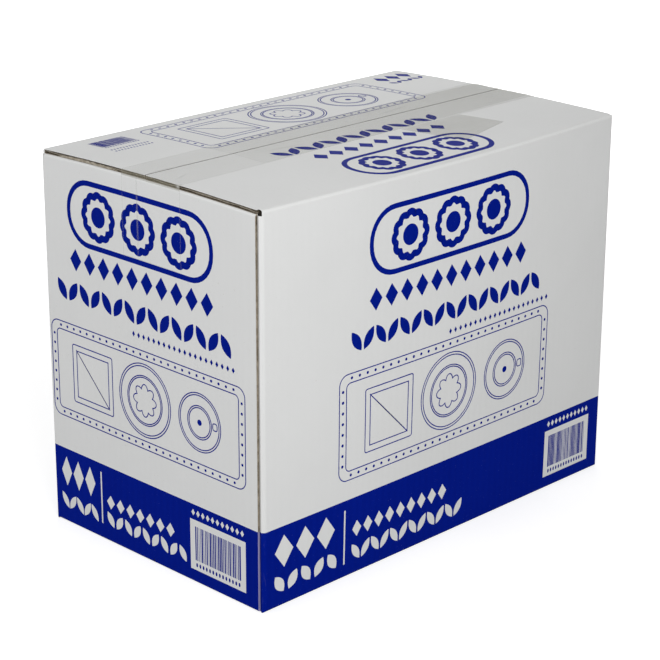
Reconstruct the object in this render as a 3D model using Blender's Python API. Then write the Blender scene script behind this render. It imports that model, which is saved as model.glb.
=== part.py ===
# A sealed corrugated shipping carton, a regular slotted container taped along its top seam.
# Metres, +Z up. The origin is the middle of the base, +X runs along the long side panels,
# -Y is the side panel that faces the viewer and -X is the end panel with the manufacturer's joint.
import math

import bmesh
import bpy

# Outside of the carton, measured at its four vertical folds
carton_length = 0.440
carton_width = 0.271
carton_height = 0.343

# Corrugated board and its folds
board = 0.0038
side_fold_radius = 0.0040
flap_fold_radius = 0.0045
end_fold_radius = 0.0040
end_fold_turn = 75
arc_steps = 6

# How the flaps meet
flap_inset = 0.0012
seam_gap = 0.0010
slot_length = 0.0028
slot_width = 0.0042
slot_depth = 0.0046

# The base, pressed flat by the load: tighter folds, flap ends set further back, and no open slots
base_fold_radius = 0.0030
base_flap_inset = 0.0040

# Manufacturer's joint: the end panel's cut edge stops short of the corner, over the tab
joint_setback = 0.0062
joint_step = 0.0022

# How the packed carton bulges: its long panels swell out, its top rises at the seam
side_bow = 0.0040
bow_full_height = 0.65
top_crown = 0.0022
fold_dip = 0.0010
bow_cuts_along = 12
bow_cuts_across = 10
bow_cuts_up = 8

# Clear packing tape
tape_thickness = 0.0001
tape_gap = 0.0003
tape_width = 0.072
tape_leg = 0.072
seam_tape_offset_left = -0.0070
seam_tape_offset_right = 0.0
second_tape_start = -0.125
second_tape_offset_left = -0.0030
second_tape_offset_right = -0.0060
patch_end_from_middle = 0.126
patch_end_from_front = 0.051
patch_angle = 13
patch_length = 0.075

# Room for cutters to run past the faces they cut
overrun = 0.010

# Edges that turn by less than this many degrees are shaded smooth
smooth_below = 30

half_length = carton_length / 2
half_width = carton_width / 2


def arc(centre, radius, start, end, steps=arc_steps):
    # Points of an arc, with its angles in degrees
    angles = [math.radians(start + (end - start) * i / steps) for i in range(steps + 1)]
    return [(centre[0] + radius * math.cos(a), centre[1] + radius * math.sin(a)) for a in angles]


def prism(name, outline, axis, low, high):
    # A closed solid: an outline in the plane across an axis, drawn out along that axis.
    # The outline's two coordinates are (y, z) for X, (x, z) for Y and (x, y) for Z.
    place = {
        "X": lambda p, along: (along, p[0], p[1]),
        "Y": lambda p, along: (p[0], along, p[1]),
        "Z": lambda p, along: (p[0], p[1], along),
    }[axis]
    bm = bmesh.new()
    face = bm.faces.new([bm.verts.new(place(p, low)) for p in outline])
    drawn = bmesh.ops.extrude_face_region(bm, geom=[face])["geom"]
    shift = place((0, 0), high - low)
    bmesh.ops.translate(bm, verts=[v for v in drawn if isinstance(v, bmesh.types.BMVert)], vec=shift)
    bmesh.ops.recalc_face_normals(bm, faces=bm.faces)
    mesh = bpy.data.meshes.new(name)
    bm.to_mesh(mesh)
    bm.free()
    solid = bpy.data.objects.new(name, mesh)
    bpy.context.scene.collection.objects.link(solid)
    return solid


def box(name, low, high):
    outline = [(low[0], low[1]), (high[0], low[1]), (high[0], high[1]), (low[0], high[1])]
    return prism(name, outline, "Z", low[2], high[2])


def combine(solid, tool, operation):
    # One Boolean, applied, so that the carton can be bowed afterwards
    modifier = solid.modifiers.new(operation.lower(), "BOOLEAN")
    modifier.operation = operation
    modifier.object = tool
    modifier.solver = "EXACT"
    bpy.context.view_layer.update()
    result = bpy.data.meshes.new_from_object(solid.evaluated_get(bpy.context.evaluated_depsgraph_get()))
    result.name = solid.name
    solid.modifiers.clear()
    solid.data = result
    bpy.data.objects.remove(tool)


def material(name, colour, roughness, alpha=1.0):
    made = bpy.data.materials.new(name)
    made.use_nodes = True
    shader = made.node_tree.nodes["Principled BSDF"]
    shader.inputs["Base Color"].default_value = (*colour, 1.0)
    shader.inputs["Roughness"].default_value = roughness
    shader.inputs["Metallic"].default_value = 0.0
    shader.inputs["Alpha"].default_value = alpha
    return made


def bowed(point):
    # Where a point of the square carton goes once the contents push it out
    x, y, z = point
    along = math.cos(math.pi * max(-0.5, min(0.5, x / carton_length)))
    across = min(1.0, abs(y) / half_width)
    up = max(0.0, min(1.0, z / carton_height))
    swell = math.sin(math.pi / 2 * min(1.0, up / bow_full_height))
    y += math.copysign(side_bow * along * across**3 * swell, y)
    z += (top_crown * (1 - across**2) - fold_dip * along * across**4) * up**4
    return x, y, z


def bow(solid):
    # Cuts the faces into strips that can bend, then moves every point
    bm = bmesh.new()
    bm.from_mesh(solid.data)
    spans = ((0, -half_length, half_length, bow_cuts_along),
             (1, -half_width, half_width, bow_cuts_across),
             (2, 0.0, carton_height, bow_cuts_up))
    for axis, low, high, count in spans:
        normal = [1.0 if i == axis else 0.0 for i in range(3)]
        for i in range(1, count):
            at = low + (high - low) * i / count
            everything = [*bm.verts, *bm.edges, *bm.faces]
            bmesh.ops.bisect_plane(bm, geom=everything, dist=1e-6,
                                   plane_co=[at * n for n in normal], plane_no=normal)
    bmesh.ops.triangulate(bm, faces=bm.faces)
    for vertex in bm.verts:
        vertex.co = bowed(vertex.co)
    bmesh.ops.recalc_face_normals(bm, faces=bm.faces)
    bm.to_mesh(solid.data)
    bm.free()
    solid.data.shade_smooth()
    solid.data.set_sharp_from_angle(angle=math.radians(smooth_below))


def side_outline():
    # Plan of the four wall panels: three rounded folds, and the joint's step at -X, -Y
    r = side_fold_radius
    tab = -half_length + joint_step
    points = [(-half_length, -half_width + joint_setback), (tab, -half_width + joint_setback)]
    points += arc((tab + r, -half_width + r), r, 180, 270)
    points += arc((half_length - r, -half_width + r), r, 270, 360)
    points += arc((half_length - r, half_width - r), r, 0, 90)
    points += arc((-half_length + r, half_width - r), r, 90, 180)
    return points


def flap_outline():
    # Section across the long panels and the outer flaps that fold from them
    r = base_fold_radius
    points = arc((-half_width + r, r), r, 180, 270)
    points += arc((half_width - r, r), r, 270, 360)
    r = flap_fold_radius
    points += arc((half_width - r, carton_height - r), r, 0, 90)
    points += arc((-half_width + r, carton_height - r), r, 90, 180)
    return points


def end_groove_outline(end, top):
    # What is missing under an outer flap's cut end, where the end panel folds in beneath it.
    # It is drawn for the top at -X, and mirrored for the other ends and the bottom.
    r = end_fold_radius
    under_flap = carton_height - board
    flap_end = -half_length + (flap_inset if top else base_flap_inset)
    points = [(-half_length - overrun, under_flap - r)]
    points += arc((-half_length + r, under_flap - r), r, 180, 180 - end_fold_turn)
    points += [
        (points[-1][0], under_flap),
        (flap_end, under_flap),
        (flap_end, carton_height + overrun),
        (-half_length - overrun, carton_height + overrun),
    ]
    return [(x * -end, z if top else carton_height - z) for x, z in points]


def make_carton():
    carton = prism("carton", side_outline(), "Z", 0.0, carton_height)
    combine(carton, prism("sleeve", flap_outline(), "X", -half_length - overrun, half_length + overrun), "INTERSECT")
    for top in (True, False):
        for end in (-1, 1):
            groove = prism("groove", end_groove_outline(end, top), "Y", -half_width + board, half_width - board)
            combine(carton, groove, "DIFFERENCE")
        z = (carton_height - board, carton_height + overrun) if top else (-overrun, board)
        slit = box("slit", (-half_length - overrun, -seam_gap / 2, z[0]), (half_length + overrun, seam_gap / 2, z[1]))
        combine(carton, slit, "DIFFERENCE")
    for end in (-1, 1):
        for side in (-1, 1):
            x = sorted((end * (half_length - slot_length), end * (half_length + overrun)))
            y = sorted((side * (half_width - slot_width), side * (half_width + overrun)))
            slot = box("slot", (x[0], y[0], carton_height - slot_depth), (x[1], y[1], carton_height + overrun))
            combine(carton, slot, "DIFFERENCE")
    bow(carton)
    carton.data.materials.append(material("white_lined_board", (0.62, 0.61, 0.58), 0.75))
    return carton


def tape_path(clearance, start, end):
    # Section along a strip: over the top and down the ends that it reaches.
    # start and end are the X where it stops on top, or None where it turns down an end panel.
    bend = flap_inset + clearance
    foot = carton_height - tape_leg

    def line(offset):
        wall, top, radius = half_length + offset, carton_height + offset, bend + offset - clearance
        left = [(start, top)] if start is not None else \
            [(-wall, foot), *arc((-wall + radius, top - radius), radius, 180, 90)]
        right = [(end, top)] if end is not None else \
            [*arc((wall - radius, top - radius), radius, 90, 0), (wall, foot)]
        return left + right

    return line(clearance) + line(clearance + tape_thickness)[::-1]


def strip_middle(x, offset_left, offset_right):
    # Y of a slightly skewed strip's middle line
    share = (max(-half_length, min(half_length, x)) + half_length) / carton_length
    return offset_left + (offset_right - offset_left) * share


def make_strip(name, clearance, start, end, offset_left, offset_right):
    strip = prism(name, tape_path(clearance, start, end), "Y", -tape_width / 2, tape_width / 2)
    for vertex in strip.data.vertices:
        vertex.co.y += strip_middle(vertex.co.x, offset_left, offset_right)
    bow(strip)
    return strip


def make_patch(name):
    # A short crooked piece beside the seam tape, up to the tape's front edge
    turn = math.radians(patch_angle)
    corner = (patch_end_from_middle, -half_width + patch_end_from_front)
    far = (corner[0] - patch_length * math.cos(turn), corner[1] - patch_length * math.sin(turn))

    def strips_front_edge(x):
        first = strip_middle(x, seam_tape_offset_left, seam_tape_offset_right)
        second = strip_middle(x, second_tape_offset_left, second_tape_offset_right)
        return min(first, second) - tape_width / 2 - tape_gap

    def reach(point):
        # Square across the patch, from its front edge to the strips
        x = point[0] - (strips_front_edge(point[0]) - point[1]) * math.tan(turn)
        return x, strips_front_edge(x)

    outline = [far, corner, reach(corner), reach(far)]
    low = carton_height + tape_gap
    patch = prism(name, outline, "Z", low, low + tape_thickness)
    bow(patch)
    return patch


for old in list(bpy.data.objects):
    bpy.data.objects.remove(old)

make_carton()
clear_tape = material("clear_tape", (0.60, 0.58, 0.48), 0.25, alpha=0.35)
second_clearance = tape_gap + tape_thickness + tape_gap
strips = (
    make_strip("seam_tape", tape_gap, None, None, seam_tape_offset_left, seam_tape_offset_right),
    make_strip("second_tape", second_clearance, second_tape_start, None,
               second_tape_offset_left, second_tape_offset_right),
    make_patch("tape_patch"),
)
for strip in strips:
    strip.data.materials.append(clear_tape)
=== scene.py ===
# Looks of a sealed, white-lined corrugated carton: board, print, raw edges and clear packing tape.
# Metres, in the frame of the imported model, with the carton's front long panel at -Y.
import math

import bmesh
import bpy
from mathutils import Matrix, Vector, noise


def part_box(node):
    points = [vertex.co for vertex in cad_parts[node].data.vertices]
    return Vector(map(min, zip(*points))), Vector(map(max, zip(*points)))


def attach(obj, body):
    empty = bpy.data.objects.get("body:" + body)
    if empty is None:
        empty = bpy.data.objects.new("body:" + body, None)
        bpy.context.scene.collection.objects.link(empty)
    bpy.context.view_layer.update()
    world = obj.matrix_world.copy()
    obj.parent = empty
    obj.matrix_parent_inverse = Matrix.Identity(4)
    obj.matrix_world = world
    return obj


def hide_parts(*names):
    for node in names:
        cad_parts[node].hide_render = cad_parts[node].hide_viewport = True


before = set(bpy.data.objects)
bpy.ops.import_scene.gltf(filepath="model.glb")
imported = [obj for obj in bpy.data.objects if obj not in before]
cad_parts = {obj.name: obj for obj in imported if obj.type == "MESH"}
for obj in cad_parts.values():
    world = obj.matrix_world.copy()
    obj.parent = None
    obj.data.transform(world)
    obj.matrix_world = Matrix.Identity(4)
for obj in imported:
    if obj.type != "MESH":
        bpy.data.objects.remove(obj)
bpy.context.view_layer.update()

carton = {
    "board": 0.0038,
    "liner": 0.0005,  # thickness of the paper liner where a cut edge shows it
    "sideFoldRadius": 0.0036,
    "jointFoldRadius": 0.0042,
    "jointTilt": 22,  # how far the tab has turned towards the front where it comes out at the joint
    "flapFoldRadius": 0.0028,
    "endFoldRadius": 0.0024,
    "endFoldTurn": 75,
    "arcSteps": 10,
    "flapInset": 0.0012,
    "seamGap": 0.0010,
    "slotLength": 0.0028,
    "slotWidth": 0.0042,
    "slotDepth": 0.0046,
    "slotNick": 0.0010,
    "baseFoldRadius": 0.0030,
    "baseFlapInset": 0.0040,
    "baseEdge": 0.0004,  # the base flaps' ends, pressed flat by the load
    "baseEndRadius": 0.0016,
    "jointSetback": 0.0053,
    "jointStep": 0.0022,
    "jointLiner": 0.0010,  # breadth of the outer liner's torn white edge at the joint
    "jointGap": 0.012,  # how far down the joint stands open at its top
    "jointDepth": 0.0007,
    "hollowDepth": 0.0020,  # how deep a cut edge shows between its liners
    "sideBow": 0.0040,
    "bowFullHeight": 0.65,
    "topCrown": 0.0022,
    "foldDip": 0.0010,
    "backDip": 0.0009,  # how much lower the back's top fold lies
    "cornerLift": 0.0012,  # how much higher the corner at +X, -Y stands
    "waveHeight": 0.00022,  # slight unevenness of the filled panels
    "waveSpacing": 0.135,
    "endCrush": 0.0006,  # unevenness of the flaps' cut ends
    "bandHeight": 0.072,
    "bandFoot": 0.0006,
    "cutSpacing": 0.010,
    "smoothBelow": 30,
    "overrun": 0.010,
}

cartonLow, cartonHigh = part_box("carton")
length = cartonHigh.x - cartonLow.x
width = cartonHigh.y - cartonLow.y - 2 * carton["sideBow"]
height = cartonHigh.z - carton["topCrown"]
halfLength = length / 2
halfWidth = width / 2
scene = bpy.context.scene
millimetre = 0.001


# Nodes


class Wire:
    # A node's output. Operators add Math nodes, and make() adds a node of any other kind.
    def __init__(self, tree, socket=None):
        self.tree = tree
        self.socket = socket

    def make(self, kind, settings=None, sockets=None, output=0):
        node = self.tree.nodes.new(kind)
        for name, value in (settings or {}).items():
            if name == "stops":
                ramp = node.color_ramp
                while len(ramp.elements) < len(value):
                    ramp.elements.new(1.0)
                for element, (position, shade) in zip(ramp.elements, value):
                    element.position = position
                    element.color = (shade, shade, shade, 1.0)
            else:
                setattr(node, name, value)
        for name, value in (sockets or {}).items():
            if isinstance(value, Wire):
                self.tree.links.new(value.socket, node.inputs[name])
            else:
                node.inputs[name].default_value = value
        return Wire(self.tree, node.outputs[output] if node.outputs else None)

    def math(self, operation, first, second=0.0):
        return self.make("ShaderNodeMath", {"operation": operation}, {0: first, 1: second})

    def __add__(self, other):
        return self.math("ADD", self, other)

    def __radd__(self, other):
        return self.math("ADD", other, self)

    def __sub__(self, other):
        return self.math("SUBTRACT", self, other)

    def __rsub__(self, other):
        return self.math("SUBTRACT", other, self)

    def __mul__(self, other):
        return self.math("MULTIPLY", self, other)

    def __rmul__(self, other):
        return self.math("MULTIPLY", other, self)

    def __truediv__(self, other):
        return self.math("DIVIDE", self, other)

    def __abs__(self):
        return self.math("ABSOLUTE", self)


def smaller(first, second):
    return first.math("MINIMUM", first, second)


def larger(first, second):
    return first.math("MAXIMUM", first, second)


def ramped(value, start, end):
    # 0 at start and 1 at end, eased
    return value.make("ShaderNodeMapRange", {"interpolation_type": "SMOOTHSTEP"},
                      {"Value": value, "From Min": start, "From Max": end})


def parted(vector):
    kind = "ShaderNodeSeparateXYZ"
    return [vector.make(kind, sockets={"Vector": vector}, output=i) for i in range(3)]


def speckled(place, scale, detail=2.0, roughness=0.5):
    return place.make("ShaderNodeTexNoise", sockets={
        "Vector": place, "Scale": scale, "Detail": detail, "Roughness": roughness})


def stretched(place, x, y, z):
    return place.make("ShaderNodeVectorMath", {"operation": "MULTIPLY"}, {0: place, 1: (x, y, z)})


def tinted(factor, first, second):
    # A colour between two
    sockets = {0: factor}
    for name, colour in ((6, first), (7, second)):
        sockets[name] = colour if isinstance(colour, Wire) else (*colour, 1.0)
    return factor.make("ShaderNodeMix", {"data_type": "RGBA", "clamp_factor": True}, sockets, output=2)


def joined(start, **parts):
    # A vector from its parts, named X, Y and Z
    return start.make("ShaderNodeCombineXYZ", sockets=parts)


def bumped(height, distance, under=None):
    # A bump, on top of another one where that is given
    sockets = {"Height": height, "Distance": distance}
    if under:
        sockets["Normal"] = under
    return height.make("ShaderNodeBump", sockets=sockets)


def newFinish(name):
    # An empty material, with a wire to start its nodes from
    finish = bpy.data.materials.new(name)
    finish.use_nodes = True
    finish.node_tree.nodes.clear()
    return finish, Wire(finish.node_tree)


def finishWith(start, sockets):
    surface = start.make("ShaderNodeBsdfPrincipled", sockets=sockets)
    start.make("ShaderNodeOutputMaterial", sockets={"Surface": surface})


def flatPlace(start):
    # Where a point lies on the carton before its panels bulge
    return start.make("ShaderNodeAttribute", {"attribute_name": "flat"}, output="Vector")


# Finishes

paper = {
    "flutePitch": 0.0078,
    "white": (0.728, 0.733, 0.729),
    "whiteCloud": (0.702, 0.707, 0.702),
    # grey of dirt specks and cracked folds, also laid along the white liner's folds as a painted shade
    "whiteDirtAndShade": (0.44, 0.42, 0.37),
    "blue": (0.0003, 0.0075, 0.200),
    "bluePale": (0.0010, 0.0125, 0.268),
    "blueWorn": (0.30, 0.31, 0.50),
    "kraft": (0.150, 0.122, 0.088),
    "kraftPale": (0.350, 0.305, 0.240),
    "torn": (0.260, 0.222, 0.168),
    "tornPale": (0.480, 0.435, 0.360),
    "inked": (0.330, 0.305, 0.520),  # the joint's cut edge where the band was printed over it
    # painted shade, for hollows and open gaps where the inside of the board lies in shade
    "hollow": (0.034, 0.028, 0.020),
    "gap": (0.006, 0.005, 0.004),
    # how far from a fold its cracks reach, and on the white liner its painted shade
    "foldWearAndShade": 0.0048,
}


def acrossFlutes(place):
    # Distance along the long panels and their flaps, and on round the corner over an end panel
    x, y, z = parted(place)
    onEnd = ramped(abs(x), halfLength - carton["sideFoldRadius"], halfLength - millimetre / 2)
    upright = z.math("GREATER_THAN", z, millimetre) * z.math("LESS_THAN", z, height - millimetre)
    return x + (halfWidth - abs(y)) * onEnd * upright


def nearFold(place):
    # 1 on the outside of a fold, 0 away from it
    x, y, z = parted(place)
    toEnd = halfLength - abs(x)
    toSide = halfWidth - abs(y)
    toFlap = smaller(height - z, z)
    distance = toSide + smaller(toEnd, toFlap)
    return ramped(distance, paper["foldWearAndShade"], 0.0)


def boardBump(place, washboard):
    fibres = speckled(stretched(place, 1.0, 1.0, 0.4), 1500.0, 3.0, 0.6)
    dents = speckled(place, 26.0, 2.0, 0.45)
    return bumped(fibres, 0.000018, bumped(washboard * 0.5 + dents * 2.2, 0.00004))


def makeWhiteLiner():
    finish, start = newFinish("whiteLiner")
    place = flatPlace(start)
    washboard = start.math("SINE", acrossFlutes(place) * (2 * math.pi / paper["flutePitch"]))
    clouds = speckled(place, 11.0, 4.0, 0.55)
    mottle = speckled(place, 210.0, 3.0, 0.6)
    tone = ramped(clouds, 0.30, 0.70) * 0.72 + mottle * 0.36 + washboard * 0.035 - 0.05
    colour = tinted(tone, paper["whiteCloud"], paper["white"])
    specks = ramped(speckled(place, 420.0, 1.0, 0.4), 0.735, 0.80) * 0.20
    # Along each fold an even painted shade tones down its highlight, with cracks in the liner over it
    fold = nearFold(place)
    foldMarks = fold * (0.05 + ramped(speckled(place, 520.0, 2.0, 0.6), 0.60, 0.74) * 0.26)
    colour = tinted(larger(specks, foldMarks), colour, paper["whiteDirtAndShade"])
    finishWith(start, {
        "Base Color": colour,
        "Roughness": 0.58 + mottle * 0.16,
        "Specular IOR Level": 0.22,
        "Normal": boardBump(place, washboard),
    })
    return finish


def makeBlueInk(name, scuffed):
    # Flexo ink over the liner: a little denser on the flute tips, worn through at the folds
    finish, start = newFinish(name)
    place = flatPlace(start)
    washboard = start.math("SINE", acrossFlutes(place) * (2 * math.pi / paper["flutePitch"]))
    mottle = speckled(place, 330.0, 3.0, 0.65)
    clouds = speckled(place, 14.0, 3.0, 0.5)
    tone = mottle * 0.55 + clouds * 0.55 + washboard * 0.07 - 0.12
    colour = tinted(tone, paper["blue"], paper["bluePale"])
    pinholes = ramped(speckled(place, 950.0, 1.0, 0.5), 0.745, 0.80) * 0.22
    worn = pinholes
    if scuffed:
        edgeNoise = speckled(stretched(place, 1.0, 1.0, 0.14), 760.0, 3.0, 0.7)
        foldMarks = nearFold(place) * ramped(edgeNoise, 0.58, 0.74) * 0.5
        worn = larger(worn, foldMarks)
    finishWith(start, {
        "Base Color": tinted(worn, colour, paper["blueWorn"]),
        "Roughness": 0.52 + mottle * 0.16,
        "Specular IOR Level": 0.015,
        "Normal": boardBump(place, washboard),
    })
    return finish


def makeKraft(name, dark, pale):
    finish, start = newFinish(name)
    place = start.make("ShaderNodeTexCoord", output="Object")
    fibres = speckled(stretched(place, 1.0, 0.35, 0.5), 1400.0, 4.0, 0.7)
    patches = ramped(speckled(place, 210.0, 3.0, 0.6), 0.36, 0.64)
    colour = tinted(ramped(fibres, 0.32, 0.70) * 0.45 + patches * 0.55, dark, pale)
    x, y, z = parted(place)
    atEnd = ramped(x, -halfLength * 0.95, -halfLength * 0.97)
    atFront = ramped(y, -halfWidth * 0.90, -halfWidth * 0.93)
    inBand = atFront * atEnd * z.math("LESS_THAN", z, carton["bandHeight"])
    colour = tinted(inBand * 0.85, colour, paper["inked"])
    finishWith(start, {
        "Base Color": colour,
        "Roughness": 0.88 + fibres * 0.1,
        "Specular IOR Level": 0.12,
        "Normal": bumped(fibres, 0.00012),
    })
    return finish


def makePaintedShade(name, dark, pale):
    # Painted shade: a dark sheet for the shaded inside of the board, seen between its liners or through a
    # slot
    finish, start = newFinish(name)
    place = start.make("ShaderNodeTexCoord", output="Object")
    fibres = speckled(place, 900.0, 3.0, 0.6)
    colour = tinted(fibres, dark, pale)
    finishWith(start, {
        "Base Color": colour,
        "Roughness": 0.95,
        "Specular IOR Level": 0.05,
        "Normal": bumped(fibres, 0.00010),
    })
    return finish


film = {
    "hazeAndShade": (0.120, 0.108, 0.020),
    "bend": (0.46, 0.44, 0.34),
    # colour of the painted highlight along the film's cut edges and wrinkles
    "light": (0.72, 0.72, 0.705),
    "hazeAlpha": 0.100,  # each share counts twice, as a film has two faces
    "bendAlpha": 0.12,
    "highlightAlpha": 0.15,
    # the upright legs' share of the haze, less than the top's as a painted shade
    "legHazeAndShade": 0.04,
    "rim": 0.0006,  # breadth of the painted highlight along a cut edge of the film
    "rimFull": 0.00036,  # how much of it has its full light
    "rimHighlight": 0.5,
    "thickness": 0.00006,
    "clearance": 0.00014,
    "patternShift": 500,  # moves each layer's streaks apart, by its clearance
    "width": 0.072,
    "leg": 0.072,
    "step": 0.003,
    "bendSteps": 8,
    "columnStep": 0.0013,
}


def makeFilm():
    # Clear tape: a slight warm haze, with a painted highlight along its edges and wrinkles, and lighter where
    # it spans a cut end
    finish, start = newFinish("clearTape")
    strip = start.make("ShaderNodeAttribute", {"attribute_name": "strip"}, output="Vector")
    veil = start.make("ShaderNodeAttribute", {"attribute_name": "veil"}, output="Vector")
    hazeAndShade, bend, light = parted(veil)
    streaks = speckled(stretched(strip, 9.0, 420.0, 1.0), 1.0, 3.0, 0.6)
    clouds = speckled(strip, 60.0, 3.0, 0.55)
    bubbles = ramped(speckled(stretched(strip, 160.0, 320.0, 1.0), 1.0, 2.0, 0.5), 0.67, 0.75)
    wrinkles = speckled(stretched(strip, 30.0, 70.0, 1.0), 1.0, 3.0, 0.5)
    hazy = hazeAndShade * (0.55 + streaks * 0.5 + clouds * 0.4) * film["hazeAlpha"]
    bent = bend * (0.7 + streaks * 0.6) * film["bendAlpha"]
    # painted highlight along the cut edges and wrinkles, and whitish bubbles
    lit = light * film["highlightAlpha"] + bubbles * hazeAndShade * 0.10
    colour = tinted(bent / (hazy + bent + 0.001), film["hazeAndShade"], film["bend"])
    alpha = hazy + bent + lit
    finishWith(start, {
        "Base Color": tinted(lit / (alpha + 0.001), colour, film["light"]),
        "Roughness": 0.16 + streaks * 0.16,
        "Specular IOR Level": 0.0,  # else the film's inner face mirrors the whole sky at low angles
        "Alpha": alpha,
        "Normal": bumped(wrinkles * 1.6 + streaks * 0.25, 0.00014),
    })
    return finish


whiteLiner = makeWhiteLiner()
blueLiner = makeBlueInk("blueLiner", True)
blueInk = makeBlueInk("blueInk", False)
rawKraft = makeKraft("rawKraft", paper["kraft"], paper["kraftPale"])
tornPaper = makeKraft("tornPaper", paper["torn"], paper["tornPale"])
boardHollowShade = makePaintedShade("boardHollowShade", paper["hollow"], paper["kraft"])
openGapShade = makePaintedShade("openGapShade", paper["gap"], paper["hollow"])
clearTape = makeFilm()
# the hollow and gap skins are painted shade
skins = {"liner": 0, "kraft": 1, "hollow": 2, "band": 3, "gap": 4}
boardFinishes = [whiteLiner, rawKraft, boardHollowShade, blueLiner, openGapShade]
print("finishes made")


# How a point of the square carton moves when the contents bulge its panels


def fade(value, half):
    return math.cos(math.pi / 2 * min(1.0, abs(value) / half))


def formed(point):
    x, y, z = point
    along = math.cos(math.pi * max(-0.5, min(0.5, x / length)))
    across = min(1.0, abs(y) / halfWidth)
    endward = min(1.0, abs(x) / halfLength)
    up = max(0.0, min(1.0, z / height))
    middle = math.sin(math.pi * up)
    swell = math.sin(math.pi / 2 * min(1.0, up / carton["bowFullHeight"]))
    wave = carton["waveHeight"] * noise.noise(Vector(point) / carton["waveSpacing"])
    fadeAlong, fadeAcross = fade(x, halfLength), fade(y, halfWidth)
    side = carton["sideBow"] * along * across**3 * swell + 2 * wave * across**12 * fadeAlong * middle
    end = 2 * wave * endward**24 * fadeAcross * middle
    lift = (carton["topCrown"] * (1 - across**2) - carton["foldDip"] * along * across**4) * up**4
    toFront = max(0.0, min(1.0, (1 - y / halfWidth) / 2))
    toRight = max(0.0, min(1.0, x / halfLength))
    lift += (carton["cornerLift"] * toRight**2 * toFront**1.5 - carton["backDip"] * (1 - toFront)**4) * up**4
    lift += wave * up**24 * fadeAlong * fadeAcross
    crush = noise.noise(Vector((math.copysign(7.5, x), y * 75, 0.5)))
    crush += 0.5 * noise.noise(Vector((0.5, y * 170, x)))
    lift += carton["endCrush"] * crush * endward**160 * up**50 * fadeAcross
    return Vector((x + math.copysign(end, x), y + math.copysign(side, y), z + lift))


def cutPlanes(axis):
    # Where a panel is cut into strips that can bend, and just beside its folds
    side, flap, foot = carton["sideFoldRadius"], carton["flapFoldRadius"], carton["baseFoldRadius"]
    low, high, beside = {
        0: (-halfLength, halfLength, (side - halfLength, halfLength - side)),
        1: (-halfWidth, halfWidth, (flap - halfWidth, foot - halfWidth, halfWidth - foot, halfWidth - flap)),
        2: (0.0, height, (foot, height - flap)),
    }[axis]
    count = round((high - low) / carton["cutSpacing"])
    return [low + (high - low) * i / count for i in range(1, count)] + list(beside)


def cutAcross(bm, axis, at):
    # Splits every face that crosses a plane
    normal = [1.0 if i == axis else 0.0 for i in range(3)]
    place = [at * n for n in normal]
    everything = [*bm.verts, *bm.edges, *bm.faces]
    bmesh.ops.bisect_plane(bm, geom=everything, dist=1e-6, plane_co=place, plane_no=normal)


def bendMesh(bm, spans=(0, 1, 2)):
    for axis in spans:
        for at in cutPlanes(axis):
            cutAcross(bm, axis, at)
    bmesh.ops.triangulate(bm, faces=[f for f in bm.faces if len(f.verts) > 4])
    flat = bm.verts.layers.float_vector.new("flat")
    for vertex in bm.verts:
        vertex[flat] = vertex.co
        vertex.co = formed(vertex.co)


def smoothen(mesh):
    mesh.shade_smooth()
    mesh.set_sharp_from_angle(angle=math.radians(carton["smoothBelow"]))


def newPiece(name, bm, finishes, smooth=True):
    mesh = bpy.data.meshes.new(name)
    bm.to_mesh(mesh)
    bm.free()
    for finish in finishes:
        mesh.materials.append(finish)
    piece = bpy.data.objects.new(name, mesh)
    scene.collection.objects.link(piece)
    if smooth:
        smoothen(mesh)
    return piece


def asMesh(piece):
    # The evaluated mesh takes the place of the piece's modifiers
    bpy.context.view_layer.update()
    mesh = bpy.data.meshes.new_from_object(piece.evaluated_get(bpy.context.evaluated_depsgraph_get()))
    piece.modifiers.clear()
    piece.data = mesh
    mesh.name = piece.name
    return piece


# Carton


def arc(centre, radius, start, end, skin="liner"):
    # Points of an outline's round stretch, each with the skin of the side that follows it
    steps = carton["arcSteps"]
    angles = [math.radians(start + (end - start) * i / steps) for i in range(steps + 1)]
    return [(centre[0] + radius * math.cos(a), centre[1] + radius * math.sin(a), skin) for a in angles]


def prism(outline, axis, low, high, capSkin="liner"):
    # An outline drawn out along an axis. Its points are (y, z), (x, z) or (x, y), with a side's skin.
    place = {
        "X": lambda a, b, along: (along, a, b),
        "Y": lambda a, b, along: (a, along, b),
        "Z": lambda a, b, along: (a, b, along),
    }[axis]
    bm = bmesh.new()
    rings = [[bm.verts.new(place(a, b, at)) for a, b, skin in outline] for at in (low, high)]
    for i, (a, b, skin) in enumerate(outline):
        after = (i + 1) % len(outline)
        side = bm.faces.new((rings[0][i], rings[0][after], rings[1][after], rings[1][i]))
        side.material_index = skins[skin]
    for ring in rings:
        bm.faces.new(ring).material_index = skins[capSkin]
    bmesh.ops.recalc_face_normals(bm, faces=bm.faces)
    return newPiece("prism", bm, boardFinishes, smooth=False)


def block(x, y, z, skin):
    # A box between two places on each axis
    corners = ((x[0], y[0]), (x[1], y[0]), (x[1], y[1]), (x[0], y[1]))
    return prism([(*corner, skin) for corner in corners], "Z", z[0], z[1], skin)


def outward(end, inner, outer):
    # A span at one end of an axis, its low place first
    return sorted((end * inner, end * outer))


def carve(solid, tool, operation="DIFFERENCE"):
    modifier = solid.modifiers.new(operation.lower(), "BOOLEAN")
    modifier.operation = operation
    modifier.object = tool
    modifier.solver = "EXACT"
    asMesh(solid)
    bpy.data.objects.remove(tool)


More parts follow.
